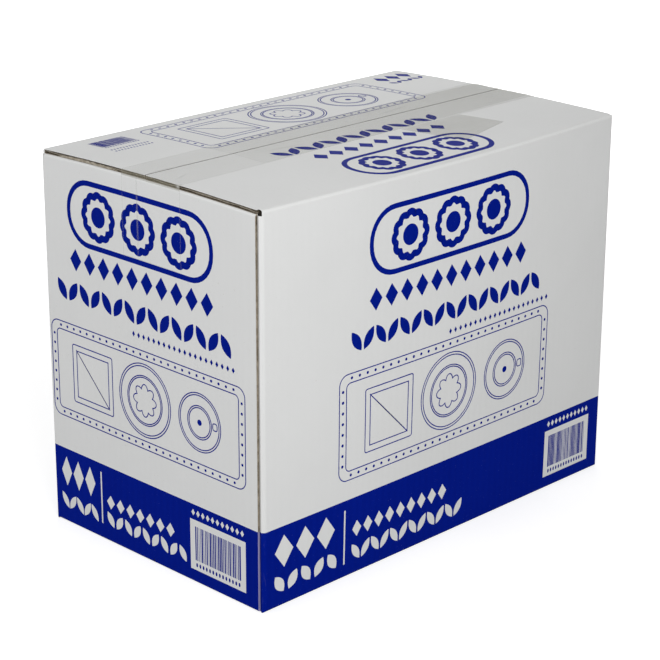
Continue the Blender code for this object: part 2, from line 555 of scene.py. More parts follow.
def sideOutline():
    # Plan of the four wall panels, with the step of the manufacturer's joint at -X, -Y
    r = carton["jointFoldRadius"]
    tilt = math.radians(carton["jointTilt"])
    tab = -halfLength + carton["jointStep"]
    cut = -halfWidth + carton["jointSetback"]
    points = [(-halfLength, cut, "kraft"), (tab, cut, "liner")]
    slope = (carton["jointSetback"] - r * (1 - math.sin(tilt))) * math.tan(tilt)
    points += arc((tab - slope + r * math.cos(tilt), -halfWidth + r), r, 180 + carton["jointTilt"], 270)
    r = carton["sideFoldRadius"]
    points += arc((halfLength - r, -halfWidth + r), r, 270, 360)
    points += arc((halfLength - r, halfWidth - r), r, 0, 90)
    points += arc((-halfLength + r, halfWidth - r), r, 90, 180)
    return points


def flapOutline():
    # Section across the long panels and their flaps
    r = carton["baseFoldRadius"]
    points = arc((-halfWidth + r, r), r, 180, 270)
    points += arc((halfWidth - r, r), r, 270, 360)
    r = carton["flapFoldRadius"]
    points += arc((halfWidth - r, height - r), r, 0, 90)
    points += arc((-halfWidth + r, height - r), r, 90, 180)
    return points


def grooveOutline(end, top):
    # Under an outer flap's cut end, where the end panel folds in
    r = carton["endFoldRadius"] if top else carton["baseEndRadius"]
    under = height - (carton["board"] if top else carton["baseEdge"])
    flapEnd = -halfLength + (carton["flapInset"] if top else carton["baseFlapInset"])
    beyond = -halfLength - carton["overrun"]
    points = [(beyond, under - r, "liner")]
    points += arc((-halfLength + r, under - r), r, 180, 180 - carton["endFoldTurn"])
    # the face between the fold and the flap is painted dark, a painted shade
    turned = points[-1]
    points[-1] = (turned[0], turned[1], "hollow")
    points += [(turned[0], under, "kraft"), (flapEnd, under, "kraft"),
               (flapEnd, height + carton["overrun"], "liner"), (beyond, height + carton["overrun"], "liner")]
    return [(x * -end, z if top else height - z, skin) for x, z, skin in points]


def cutSlots(body):
    # The slots between the top flaps, at the corners. The ones at +X are nearly closed.
    beyond = carton["overrun"]
    for end, depth in ((-1, carton["slotDepth"]), (1, carton["slotNick"])):
        x = outward(end, halfLength - carton["slotLength"], halfLength + beyond)
        for side in (-1, 1):
            y = outward(side, halfWidth - carton["slotWidth"], halfWidth + beyond)
            # the open slot at the near corner is painted near black, a painted shade
            skin = "gap" if end < 0 and side < 0 else "liner"
            carve(body, block(x, y, (height - depth, height + beyond), skin))


def cutHollows(body):
    # The space between the liners, open at the top flaps' ends and at the joint. Its hollows and the joint's
    # open top are painted dark, a painted shade.
    liner = carton["liner"]
    flapEnd = halfLength - carton["flapInset"]
    reach = halfWidth - carton["slotWidth"] - liner
    for end in (-1, 1):
        x = outward(end, flapEnd - carton["hollowDepth"], flapEnd + carton["overrun"])
        near = reach + (2 * liner if end < 0 else 0)  # open to the slot at the near corner
        for y in ((-near, -carton["seamGap"]), (carton["seamGap"], reach)):
            carve(body, block(x, y, (height - carton["board"] + liner, height - liner), "hollow"))
    cut = -halfWidth + carton["jointSetback"]
    x = (-halfLength + carton["jointLiner"], -halfLength + carton["jointStep"] - liner)
    gap = height - carton["jointGap"]
    closed = (carton["baseFoldRadius"] + liner, gap - liner)
    opened = (gap, height - carton["slotDepth"] - liner)
    for z, deep, skin in ((closed, carton["jointDepth"], "kraft"), (opened, carton["slotWidth"], "gap")):
        carve(body, block(x, (cut - liner / 2, cut + deep), z, skin))


def paintFaces(bm):
    # The band's blue, and the white outer liner where a cut edge shows it
    linerFoot = height - carton["liner"]
    for at in (carton["bandHeight"], linerFoot):
        cutAcross(bm, 2, at)
    edge = (-halfLength + carton["jointLiner"], -halfWidth + carton["jointSetback"] + millimetre)
    for face in bm.faces:
        x, y, z = face.calc_center_median()
        skin = face.material_index
        atJoint = x < edge[0] and y < edge[1] and z > carton["bandHeight"]
        if skin == skins["liner"] and carton["bandFoot"] < z < carton["bandHeight"]:
            face.material_index = skins["band"]
        elif skin == skins["kraft"] and (z > linerFoot or atJoint):
            face.material_index = skins["liner"]


def makeCartonBoard():
    body = prism(sideOutline(), "Z", 0.0, height)
    body.name = "cartonBoard"
    beyond = halfLength + carton["overrun"]
    carve(body, prism(flapOutline(), "X", -beyond, beyond), "INTERSECT")
    inside = halfWidth - carton["board"]
    for top in (True, False):
        for end in (-1, 1):
            carve(body, prism(grooveOutline(end, top), "Y", -inside, inside, "kraft"))
    cutSlots(body)
    # the seam between the flaps, with its walls painted near black as painted shade
    half = carton["seamGap"] / 2
    for z in ((height - carton["board"], height + carton["overrun"]), (-carton["overrun"], carton["board"])):
        carve(body, block((-beyond, beyond), (-half, half), z, "gap"))
    cutHollows(body)
    bm = bmesh.new()
    bm.from_mesh(body.data)
    paintFaces(bm)
    bendMesh(bm)
    bm.to_mesh(body.data)
    bm.free()
    smoothen(body.data)
    weigh = body.modifiers.new("weigh", "WEIGHTED_NORMAL")
    weigh.keep_sharp = True
    return asMesh(body)


cartonBoard = makeCartonBoard()
print("board folded", len(cartonBoard.data.polygons), "faces")


# Node trees for what repeats


def newTree(name, inputs):
    tree = bpy.data.node_groups.new(name, "GeometryNodeTree")
    for label, kind in inputs.items():
        tree.interface.new_socket(name=label, in_out="INPUT", socket_type="NodeSocket" + kind)
    tree.interface.new_socket(name="Geometry", in_out="OUTPUT", socket_type="NodeSocketGeometry")
    source = tree.nodes.new("NodeGroupInput")
    return tree, {label: Wire(tree, source.outputs[label]) for label in inputs}


def closeTree(tree, geometry, finish):
    real = geometry.make("GeometryNodeRealizeInstances", sockets={"Geometry": geometry})
    done = real.make("GeometryNodeSetMaterial", sockets={"Geometry": real, "Material": finish})
    end = tree.nodes.new("NodeGroupOutput")
    tree.links.new(done.socket, end.inputs["Geometry"])


def grown(tree, values):
    # The plain mesh that a node tree makes from the given values
    holder = bpy.data.objects.new(tree.name, bpy.data.meshes.new(tree.name))
    scene.collection.objects.link(holder)
    modifier = holder.modifiers.new("nodes", "NODES")
    modifier.node_group = tree
    for item in tree.interface.items_tree:
        if item.in_out == "INPUT":
            modifier[item.identifier] = values[item.name]
    mesh = asMesh(holder).data
    bpy.data.objects.remove(holder)
    return mesh


def rowOfPoints(given):
    # Points along X, half a pitch from each end of the row
    pitch = given["Pitch"]
    step, first = joined(pitch, X=pitch), joined(pitch, X=pitch * 0.5)
    return pitch.make("GeometryNodeMeshLine", {"mode": "OFFSET"}, {
        "Count": given["Count"], "Start Location": first, "Offset": step})


def placedOn(points, motif, **more):
    return points.make("GeometryNodeInstanceOnPoints", sockets={"Points": points, "Instance": motif, **more})


def makeMotifTree():
    # A row of flat motifs: lozenges, beads or leaves, every other one tilted the other way
    tree, given = newTree("motifRow", {
        "Count": "Int", "Pitch": "Float", "Long": "Float", "Broad": "Float",
        "Sides": "Int", "Sharpness": "Float", "Tilt": "Float", "Finish": "Material"})
    points = rowOfPoints(given)
    disc = points.make("GeometryNodeMeshCircle", {"fill_type": "NGON"}, {
        "Vertices": given["Sides"], "Radius": 0.5})
    x, y, z = parted(points.make("GeometryNodeInputPosition"))
    narrow = y.math("POWER", abs(y) * 2, given["Sharpness"])
    spot = joined(x, X=x * given["Long"], Y=y * narrow * given["Broad"])
    motif = disc.make("GeometryNodeSetPosition", sockets={"Geometry": disc, "Position": spot})
    number = points.make("GeometryNodeInputIndex")
    other = number.math("MODULO", number, 2.0) * 2 - 1
    row = placedOn(points, motif, Rotation=joined(other, Z=other * given["Tilt"]))
    closeTree(tree, row, given["Finish"])
    return tree


def makeBarTree():
    # Upright bars of uneven width, in a row
    tree, given = newTree("barRow", {
        "Count": "Int", "Pitch": "Float", "High": "Float", "Seed": "Int", "Finish": "Material"})
    points = rowOfPoints(given)
    bar = points.make("GeometryNodeMeshGrid", sockets={
        "Size X": 1.0, "Size Y": given["High"], "Vertices X": 2, "Vertices Y": 2})
    chance = points.make("FunctionNodeRandomValue", {"data_type": "FLOAT"}, {
        2: 0.22, 3: 0.86, "Seed": given["Seed"]}, output=1)
    row = placedOn(points, bar, Scale=joined(chance, X=given["Pitch"] * chance, Y=1.0, Z=1.0))
    closeTree(tree, row, given["Finish"])
    return tree


def makeMediumTree():
    # The fluted paper between the liners, as a wavy strip along X with its edge at -Y
    tree, given = newTree("fluteMedium", {
        "Length": "Float", "Steps": "Int", "Deep": "Float", "Thick": "Float",
        "Wave": "Float", "Spacing": "Float", "Seed": "Float", "Finish": "Material"})
    along = given["Length"]
    sheet = along.make("GeometryNodeMeshGrid", sockets={
        "Size X": along, "Size Y": given["Deep"], "Vertices X": given["Steps"], "Vertices Y": 2})
    x, y, z = parted(along.make("GeometryNodeInputPosition"))
    spot = joined(along, X=x / given["Spacing"], Y=given["Seed"], Z=y / given["Deep"] * 0.2)
    wander = speckled(spot, 1.0, 2.0, 0.55) - 0.5
    ragged = speckled(stretched(spot, 9.0, 1.0, 1.0), 1.0, 2.0, 0.6) - 0.5
    shift = joined(along, Y=ragged * given["Deep"] * 0.5, Z=(wander * 3.0 + ragged * 0.8) * given["Wave"])
    sheet = along.make("GeometryNodeSetPosition", sockets={"Geometry": sheet, "Offset": shift})
    raised = along.make("GeometryNodeExtrudeMesh", sockets={
        "Mesh": sheet, "Offset": joined(along, Z=1.0), "Offset Scale": given["Thick"], "Individual": False})
    under = along.make("GeometryNodeFlipFaces", sockets={"Mesh": sheet})
    both = tree.nodes.new("GeometryNodeJoinGeometry")
    for part in (raised, under):
        tree.links.new(part.socket, both.inputs[0])
    whole = along.make("GeometryNodeMergeByDistance", sockets={
        "Geometry": Wire(tree, both.outputs[0]), "Distance": 1e-6})
    closeTree(tree, whole, given["Finish"])
    return tree


def makeFibreTree():
    # Loose paper fibres along X, leaning every way
    tree, given = newTree("edgeFibres", {
        "Length": "Float", "Count": "Int", "Reach": "Float", "Spread": "Float",
        "Seed": "Int", "Finish": "Material"})
    along = given["Length"]

    def chance(low, high, shift, kind="FLOAT", output=1):
        names = {"FLOAT": (2, 3), "FLOAT_VECTOR": (0, 1)}[kind]
        return along.make("FunctionNodeRandomValue", {"data_type": kind}, {
            names[0]: low, names[1]: high, "Seed": given["Seed"] + shift}, output=output)

    points = along.make("GeometryNodeMeshLine", {"mode": "OFFSET"}, {"Count": given["Count"]})
    spot = joined(along, X=(chance(0.0, 1.0, 1) - 0.5) * along, Z=chance(-1.0, 1.0, 2) * given["Spread"])
    placed = along.make("GeometryNodeSetPosition", sockets={"Geometry": points, "Position": spot})
    fibre = along.make("GeometryNodeMeshCone", {"fill_type": "NGON"}, {
        "Vertices": 3, "Radius Top": 0.02, "Radius Bottom": 0.085, "Depth": 1.0})
    lean = chance((0.7, -1.1, -3.1), (2.4, 1.1, 3.1), 3, "FLOAT_VECTOR", 0)
    tufts = placedOn(placed, fibre, Rotation=lean, Scale=given["Reach"] * chance(0.35, 1.0, 4))
    closeTree(tree, tufts, given["Finish"])
    return tree


motifTree = makeMotifTree()
barTree = makeBarTree()
mediumTree = makeMediumTree()
fibreTree = makeFibreTree()


# Print, in millimetres on each panel, as thin plates of ink or of bare liner

plates = {
    "low": 0.00001,  # heights over the board, in metres
    "ink": 0.00005,
    "overInk": 0.00009,
    "line": 0.97,  # breadths, in millimetres
    "outline": 4.6,
    "circleSteps": 64,
    "cornerSteps": 8,
    "leafLength": 1.12,  # as a share of the row's height
    "leafTilt": 58,
    "bars": 28,
}

# Rows are a layer, a kind of motif, two opposite corners, a count and a motif's share of its pitch
longPanel = {
    "badge": ((119, 260), (320, 321)),
    "drawing": ((86, 90), (353, 185)),
    "label": ((358, 12), (423, 58)),
    "bareBoxes": (((93.2, 13), (94.8, 63)), ((358, 12), (423, 58))),
    "seed": 3,
    "rows": (
        ("ink", "lozenge", (118, 233), (320, 253), 11, 0.80),
        ("ink", "leaf", (98, 202), (340, 221), 17, 0.66),
        ("ink", "lozenge", (216, 189.8), (353, 195), 21, 0.55),
        ("bare", "lozenge", (12, 35), (84, 64), 3, 0.86),
        ("bare", "leaf", (11, 13), (87, 29), 5, 0.66),
        ("bare", "lozenge", (102, 35), (223, 50), 9, 0.80),
        ("bare", "leaf", (102, 13), (244, 29), 12, 0.64),
        ("bare", "lozenge", (360, 61.5), (422, 67.5), 11, 0.72),
    ),
}

endPanel = {
    "badge": ((33, 266), (217, 325)),
    "drawing": ((5, 103.5), (252, 192)),
    "label": ((183, 12), (251, 58)),
    "bareBoxes": (((65.4, 15), (67.0, 64)), ((183, 12), (251, 58))),
    "seed": 7,
    "rows": (
        ("ink", "lozenge", (33, 242), (218, 262), 10, 0.80),
        ("ink", "leaf", (15, 213), (238, 232), 15, 0.66),
        ("ink", "lozenge", (113, 201.8), (242, 207), 20, 0.55),
        ("bare", "lozenge", (10, 36), (59, 64), 3, 0.86),
        ("bare", "leaf", (10, 14), (61, 29), 5, 0.66),
        ("bare", "lozenge", (72, 32), (164, 45), 7, 0.80),
        ("bare", "leaf", (72, 15), (179, 29), 9, 0.64),
        ("bare", "lozenge", (184, 61.5), (250, 67.5), 11, 0.72),
    ),
}

topPanel = {
    "badge": ((134, 7), (296, 60)),
    "drawing": ((94, 160), (368, 255)),
    "label": ((32, 226), (79, 256)),
    "bareBoxes": (),
    "seed": 11,
    "rows": (
        ("ink", "lozenge", (135, 70), (298, 87), 9, 0.80),
        ("ink", "leaf", (118, 96), (318, 115), 14, 0.66),
        ("ink", "bead", (34, 212), (77, 214.6), 13, 0.5),
        ("ink", "bead", (34, 218), (77, 220.6), 13, 0.5),
        ("ink", "lozenge", (388, 235), (432, 257), 3, 0.86),
        ("ink", "leaf", (388, 222), (432, 231), 6, 0.62),
    ),
}

sides = {  # origin, rightward and upward directions, and print
    "front": ((-halfLength, -halfWidth, 0), (1, 0, 0), (0, 0, 1), longPanel),
    "back": ((halfLength, halfWidth, 0), (-1, 0, 0), (0, 0, 1), longPanel),
    "left": ((-halfLength, halfWidth, 0), (0, -1, 0), (0, 0, 1), endPanel),
    "right": ((halfLength, -halfWidth, 0), (0, 1, 0), (0, 0, 1), endPanel),
    "top": ((-halfLength, -halfWidth, height), (1, 0, 0), (0, 1, 0), topPanel),
}


def addFill(bm, path):
    bm.faces.new([bm.verts.new((u, v, 0)) for u, v in path])


def addLine(bm, path, thick, closed=True):
    # A line of even thickness along a path
    rims = []
    for i, here in enumerate(path):
        here = Vector(here)
        before = Vector(path[i - 1]) if closed or i > 0 else None
        after = Vector(path[(i + 1) % len(path)]) if closed or i < len(path) - 1 else None
        inward = (here - before).normalized() if before else (after - here).normalized()
        onward = (after - here).normalized() if after else inward
        across = (inward.orthogonal() + onward.orthogonal()).normalized()
        reach = thick / 2 / max(0.4, across.dot(inward.orthogonal()))
        rims.append([bm.verts.new((*(here + across * reach * side), 0)) for side in (-1, 1)])
    for i in range(len(path) if closed else len(path) - 1):
        after = rims[(i + 1) % len(path)]
        bm.faces.new((rims[i][0], after[0], after[1], rims[i][1]))


def circle(centre, radius, lobes=0, depth=0.0):
    steps = plates["circleSteps"] * (2 if lobes else 1)
    points = []
    for i in range(steps):
        turn = 2 * math.pi * i / steps
        r = radius + depth * abs(math.cos(lobes * turn / 2))
        points.append((centre[0] + r * math.cos(turn), centre[1] + r * math.sin(turn)))
    return points


def roundedBox(low, high, radius):
    points = []
    corners = ((high[0] - radius, high[1] - radius, 0), (low[0] + radius, high[1] - radius, 90),
               (low[0] + radius, low[1] + radius, 180), (high[0] - radius, low[1] + radius, 270))
    for x, y, start in corners:
        for i in range(plates["cornerSteps"] + 1):
            turn = math.radians(start + 90 * i / plates["cornerSteps"])
            points.append((x + radius * math.cos(turn), y + radius * math.sin(turn)))
    return points


def addRow(bm, low, high, count, share, kind, upright=False):
    # A row of motifs that fills a box, from the row tree
    size = Vector((high[0] - low[0], high[1] - low[1]))
    if upright:
        size = size.yx
    pitch = size.x / count
    sides, sharpness, tilt = {"lozenge": (4, 0, 0), "bead": (16, 0, 0), "leaf": (24, 1, 1)}[kind]
    lengthen = size.y * plates["leafLength"] if tilt else pitch * share
    broaden = pitch * share if tilt else size.y
    mesh = grown(motifTree, {
        "Count": count, "Pitch": pitch, "Long": lengthen, "Broad": broaden, "Sides": sides,
        "Sharpness": float(sharpness), "Tilt": math.radians(plates["leafTilt"]) * tilt, "Finish": blueInk})
    if upright:
        turn = Matrix.Translation(((low[0] + high[0]) / 2, low[1], 0)) @ Matrix.Rotation(math.pi / 2, 4, "Z")
    else:
        turn = Matrix.Translation((low[0], (low[1] + high[1]) / 2, 0))
    mesh.transform(turn)
    bm.from_mesh(mesh)
    bpy.data.meshes.remove(mesh)


def addBadge(art, low, high):
    # A long rounded frame round three scalloped rosettes
    middle = (low[1] + high[1]) / 2
    tall = high[1] - low[1]
    inset = plates["outline"] / 2
    outline = roundedBox((low[0] + inset, low[1] + inset), (high[0] - inset, high[1] - inset),
                         (tall - 2 * inset) * 0.48)
    addLine(art["ink"], outline, plates["outline"])
    radius = tall * 0.29
    for i in (-1, 0, 1):
        centre = ((low[0] + high[0]) / 2 + i * tall * 0.86, middle)
        addLine(art["ink"], circle(centre, radius, 12, tall * 0.035), tall * 0.10)
        addFill(art["ink"], circle(centre, radius * 0.52))


def addTableSetting(art, low, high):
    # Fine-line drawing of a set table from above: a napkin, a plate, and a cup on its saucer
    ink = art["ink"]
    tall = high[1] - low[1]
    middle = (low[1] + high[1]) / 2

    def draw(path, closed=True):
        addLine(ink, path, plates["line"], closed)

    inset = tall * 0.085
    corner = tall * 0.10
    draw(roundedBox(low, high, corner))
    draw(roundedBox((low[0] + inset, low[1] + inset), (high[0] - inset, high[1] - inset), corner / 2))
    left, right = low[0] + corner, high[0] - corner
    foot, head = low[1] + corner, high[1] - corner
    bead = inset * 0.34
    beadPitch = bead * 3.4
    for edge in (low[1] + inset / 2, high[1] - inset / 2):
        addRow(ink, (left, edge - bead / 2), (right, edge + bead / 2),
               round((right - left) / beadPitch), bead / beadPitch, "bead")
    for edge in (low[0] + inset / 2, high[0] - inset / 2):
        addRow(ink, (edge - bead / 2, foot), (edge + bead / 2, head),
               round((head - foot) / beadPitch), bead / beadPitch, "bead", upright=True)
    plate = ((low[0] + high[0]) / 2, middle)
    cup = (high[0] - tall * 0.62, middle)
    for centre, shares in ((plate, (0.370, 0.345, 0.250, 0.232)), (cup, (0.290, 0.268, 0.165, 0.145))):
        for share in shares:
            draw(circle(centre, tall * share))
    draw(circle(plate, tall * 0.120, 8, tall * 0.045))
    addFill(ink, circle(cup, tall * 0.03))
    ear = (cup[0] + tall * 0.182, middle + tall * 0.012)
    draw(roundedBox((ear[0], ear[1] - tall * 0.035), (ear[0] + tall * 0.060, ear[1] + tall * 0.035), 2.0))
    napkin = low[0] + tall * 0.62
    side = tall * 0.30
    draw(roundedBox((napkin - side, middle - side), (napkin + side, middle + side), 2.0))
    for fold in (side * 0.80, -side * 0.80):
        draw([(napkin + fold, middle - fold), (napkin + fold, middle + fold), (napkin - fold, middle + fold)])
    crease = side * 0.64
    draw([(napkin - crease, middle + crease), (napkin + crease, middle - crease)], closed=False)


def addLabel(art, low, high, seed):
    # Uneven bars over a row of beads
    edge = (high[0] - low[0]) * 0.085
    foot = (high[1] - low[1]) * 0.20
    left, right = low[0] + edge, high[0] - edge
    bars = grown(barTree, {
        "Count": plates["bars"], "Pitch": (right - left) / plates["bars"],
        "High": high[1] - low[1] - foot - edge, "Seed": seed, "Finish": blueInk})
    bars.transform(Matrix.Translation((left, (low[1] + foot + high[1] - edge) / 2, 0)))
    art["over"].from_mesh(bars)
    bpy.data.meshes.remove(bars)
    addRow(art["over"], (left, low[1] + foot * 0.32), (right, low[1] + foot * 0.74), 14, 0.55, "bead")


def makePrint(name, origin, right, up, panel):
    origin, right, up = Vector(origin), Vector(right), Vector(up)
    out = right.cross(up)
    art = {layer: bmesh.new() for layer in ("ink", "bare", "over")}
    addBadge(art, *panel["badge"])
    for layer, kind, low, high, count, share in panel["rows"]:
        addRow(art[layer], low, high, count, share, kind)
    addTableSetting(art, *panel["drawing"])
    for low, high in panel["bareBoxes"]:
        addFill(art["bare"], [low, (high[0], low[1]), high, (low[0], high[1])])
    addLabel(art, *panel["label"], panel["seed"])
    whole = bmesh.new()
    for layer, sheet in art.items():
        bmesh.ops.triangulate(sheet, faces=[f for f in sheet.faces if len(f.verts) > 4])
        low = plates["ink"] if layer == "over" else plates["low"]
        high = plates["overInk"] if layer == "over" else plates["ink"]
        for vertex in sheet.verts:
            u, v = vertex.co.x * millimetre, vertex.co.y * millimetre
            vertex.co = origin + right * u + up * v + out * low
        faces = list(sheet.faces)
        drawn = bmesh.ops.extrude_face_region(sheet, geom=faces)["geom"]
        bmesh.ops.translate(sheet, verts=[v for v in drawn if isinstance(v, bmesh.types.BMVert)],
                            vec=out * (high - low))
        bmesh.ops.recalc_face_normals(sheet, faces=sheet.faces)
        for face in sheet.faces:
            face.material_index = 1 if layer == "bare" else 0
        held = bpy.data.meshes.new(layer)
        sheet.to_mesh(held)
        sheet.free()
        whole.from_mesh(held)
        bpy.data.meshes.remove(held)
    bendMesh(whole, [i for i in range(3) if abs(out[i]) < 0.5])
    return newPiece(name, whole, [blueInk, whiteLiner])


prints = [makePrint(name + "Print", *side) for name, side in sides.items()]
print("panels printed", sum(len(p.data.polygons) for p in prints), "faces")


# Raw edges

rawEdge = {
    "mediumThick": 0.00030,
    "mediumDeep": 0.0016,
    "mediumBack": 0.0002,
    "flapWave": 0.00105,
    "jointWave": 0.00036,
    "spacing": 0.026,
    "step": 0.0008,
    "fibresPerMetre": 1500,
    "fibreReach": 0.0011,
    "tornFrom": 0.035,
    "tornTo": 0.113,
    "tornOut": 0.0003,
    "tornRise": 0.0005,
    "tornBroad": 0.0017,
    "tornRagged": 0.0007,
    "tornThick": 0.00030,
}


def laidMesh(whole, mesh, matrix):
    mesh.transform(matrix)
    whole.from_mesh(mesh)
    bpy.data.meshes.remove(mesh)


def edgeMatrix(origin, along, inward):
    # Takes X along an edge and +Y into the board
    up = along.cross(inward)
    return Matrix.Translation(origin) @ Matrix((along, inward, up)).transposed().to_4x4()


def rawEdgeRuns():
    # Middle of each open cut edge, its direction, the way into the board, its length and its wave
    flapEnd = halfLength - carton["flapInset"]
    liner, seam = carton["liner"], carton["seamGap"]
    reach = halfWidth - carton["slotWidth"] - 2 * liner
    runs = []
    for end in (-1, 1):
        for side in (-1, 1):
            middle = Vector((end * flapEnd, side * (reach + seam) / 2, height - carton["board"] / 2))
            runs.append((middle, Vector((0, 1, 0)), Vector((-end, 0, 0)), reach - seam, rawEdge["flapWave"]))
    x = -halfLength + (carton["jointLiner"] + carton["jointStep"] - liner) / 2
    low, high = carton["baseFoldRadius"] + 2 * liner, height - carton["jointGap"] - 2 * liner
    middle = Vector((x, -halfWidth + carton["jointSetback"], (low + high) / 2))
    runs.append((middle, Vector((0, 0, 1)), Vector((0, 1, 0)), high - low, rawEdge["jointWave"]))
    return runs


def addTornStrip(bm):
    # Paper torn loose along the top flap's cut end at -X, hanging a little below it
    low, high = rawEdge["tornFrom"], rawEdge["tornTo"]
    count = round((high - low) / rawEdge["step"])
    face = -halfLength + carton["flapInset"]
    rings = []
    for i in range(count + 1):
        y = low + (high - low) * i / count
        ragged = [noise.noise(Vector((y * 420, 0.5, row))) for row in (0.5, 9.5)]
        swing = noise.noise(Vector((y * 70, 4.5, 0.5)))
        loose = min(1.0, 6 * i / count + 0.15, 6 * (count - i) / count + 0.15)
        foot = height - carton["board"] + rawEdge["tornRise"] - loose * rawEdge["tornRagged"] * ragged[0]
        head = foot + loose * (rawEdge["tornBroad"] + rawEdge["tornRagged"] * ragged[1])
        out = face - rawEdge["tornOut"] * (1 + loose * (0.6 + swing))
        inner = out + rawEdge["tornThick"]
        section = ((out, foot), (out, head), (inner, head), (inner, foot))
        rings.append([bm.verts.new((x, y, z)) for x, z in section])
    faces = [bm.faces.new((a[j], a[(j + 1) % 4], b[(j + 1) % 4], b[j]))
             for a, b in zip(rings, rings[1:]) for j in range(4)]
    faces += [bm.faces.new(rings[0]), bm.faces.new(rings[-1])]
    bmesh.ops.recalc_face_normals(bm, faces=faces)
    for side in faces:
        side.material_index = 1


def makeRawEdges():
    whole = bmesh.new()
    for number, (middle, along, inward, run, wave) in enumerate(rawEdgeRuns()):
        deep = rawEdge["mediumBack"] + rawEdge["mediumDeep"] / 2
        medium = grown(mediumTree, {
            "Length": run, "Steps": round(run / rawEdge["step"]), "Deep": rawEdge["mediumDeep"],
            "Thick": rawEdge["mediumThick"], "Wave": wave, "Spacing": rawEdge["spacing"],
            "Seed": 3.7 * number, "Finish": rawKraft})
        laidMesh(whole, medium, edgeMatrix(middle + inward * deep, along, inward))
        fibres = grown(fibreTree, {
            "Length": run, "Count": round(run * rawEdge["fibresPerMetre"]), "Reach": rawEdge["fibreReach"],
            "Spread": wave * 1.2, "Seed": number * 10, "Finish": rawKraft})
        laidMesh(whole, fibres, edgeMatrix(middle, along, -inward))
    addTornStrip(whole)
    for vertex in whole.verts:
        vertex.co = formed(vertex.co)
    return newPiece("rawEdges", whole, [rawKraft, tornPaper], smooth=False)


rawEdges = makeRawEdges()
print("raw edges cut", len(rawEdges.data.polygons), "faces")


# Tape


def rimmed(low, high, step):
    # Places from low to high, close together at both ends, where a film's cut edge has its painted highlight
    rim = film["rim"]
    inside = high - low - 2 * rim
    count = max(1, round(inside / step))
    middle = [low + rim + inside * i / count for i in range(count + 1)]
    return [low, low + film["rimFull"], *middle, high - film["rimFull"], high]


def atRim(number, places):
    return number < 2 or number > len(places) - 3


def evenly(first, last):
    # Steps from one place towards another, without the last
    count = max(1, round(abs(last - first) / film["step"]))
    return [first + (last - first) * i / count for i in range(count)]


def tapeStations(start, clearance):
    # Points (x, z) of a strip's section from left to right, each with its outward direction
    wall, top, rim = halfLength + clearance, height + clearance, film["rim"]
    bend = carton["flapInset"] + clearance
    foot, cut = height - film["leg"], height - carton["board"]
    heights = [foot, foot + film["rimFull"], *evenly(foot + rim, cut - 2 * rim), cut - 2 * rim, cut - rim]
    heights += evenly(cut, top - bend)

    def leg(side):
        return [((side * wall, z), (side, 0)) for z in heights]

    def turn(side):
        angles = [math.pi / 2 * i / film["bendSteps"] for i in range(film["bendSteps"] + 1)]
        return [((side * (wall - bend + bend * math.cos(a)), top - bend + bend * math.sin(a)),
                 (side * math.cos(a), math.sin(a))) for a in angles]

    left = leg(-1) + turn(-1)
    if start is not None:
        left = [((start + shift, top), (0, 1)) for shift in (0.0, film["rimFull"], rim)]
    right = turn(1)[::-1] + leg(1)[::-1]
    run = [((x, top), (0, 1)) for x in evenly(left[-1][0][0], right[0][0][0])[1:]]
    return left + run + right


def ridge(along, across, line):
    # Height share of one long wrinkle, from (along, across) to its far end
    a, b = Vector(line[0]), Vector(line[1])
    point = Vector((along, across))
    share = max(0.0, min(1.0, (point - a).dot(b - a) / (b - a).length_squared))
    distance = (point - a - (b - a) * share).length
    return math.exp(-(distance / line[2])**2) * math.sin(math.pi * share)


def makeFilmStrip(name, values, clearance, wrinkles):
    stations = tapeStations(values["start"], clearance)
    columns = rimmed(-film["width"] / 2, film["width"] / 2, film["columnStep"])
    cut = height - carton["board"]
    rows = []
    along = 0.0
    before = stations[0][0]
    for number, ((x, z), (outX, outZ)) in enumerate(stations):
        along += math.dist(before, (x, z))
        before = (x, z)
        share = (max(-halfLength, min(halfLength, x)) + halfLength) / length
        # the haze carries a painted shade: it grows towards +X, and is heavier on the top than on the upright
        # legs
        middle, hazeAndShade = (a + (b - a) * share for a, b in (values["offsets"], values["hazeAndShade"]))
        hazeAndShade *= film["legHazeAndShade"] + (1 - film["legHazeAndShade"]) * outZ**2
        bend = (1 - outZ**4) * max(0.0, min(1.0, (z - cut) / film["rim"] + 2))
        row = []
        for column, across in enumerate(columns):
            ridges = [(line, ridge(along, across, line)) for line in wrinkles]
            lift = sum(line[3] * rise for line, rise in ridges)
            # a painted highlight along the film's cut edges and on its wrinkles
            light = film["rimHighlight"] * (atRim(column, columns) or atRim(number, stations))
            light = max([light] + [line[4] * rise for line, rise in ridges])
            place = (x + outX * lift, middle + across, z + outZ * lift)
            onStrip = (along, across + clearance * film["patternShift"], 0.0)
            row.append((place, (outX, outZ), onStrip, (hazeAndShade, bend, light)))
        rows.append(row)
    return makeFilmPiece(name, rows)


def makeFilmPiece(name, rows):
    # Both faces of a film, from rows of points: place, direction outwards, place on the strip and veil
    bm = bmesh.new()
    strip = bm.verts.layers.float_vector.new("strip")
    veil = bm.verts.layers.float_vector.new("veil")
    sheets = []
    for thick in (0.0, film["thickness"]):
        sheet = []
        for row in rows:
            sheet.append([])
            for (x, y, z), (outX, outZ), onStrip, veiled in row:
                vertex = bm.verts.new(formed((x + outX * thick, y, z + outZ * thick)))
                vertex[strip] = onStrip
                vertex[veil] = veiled
                sheet[-1].append(vertex)
        sheets.append(sheet)
    closeSheets(bm, *sheets)
    return newPiece(name, bm, [clearTape])


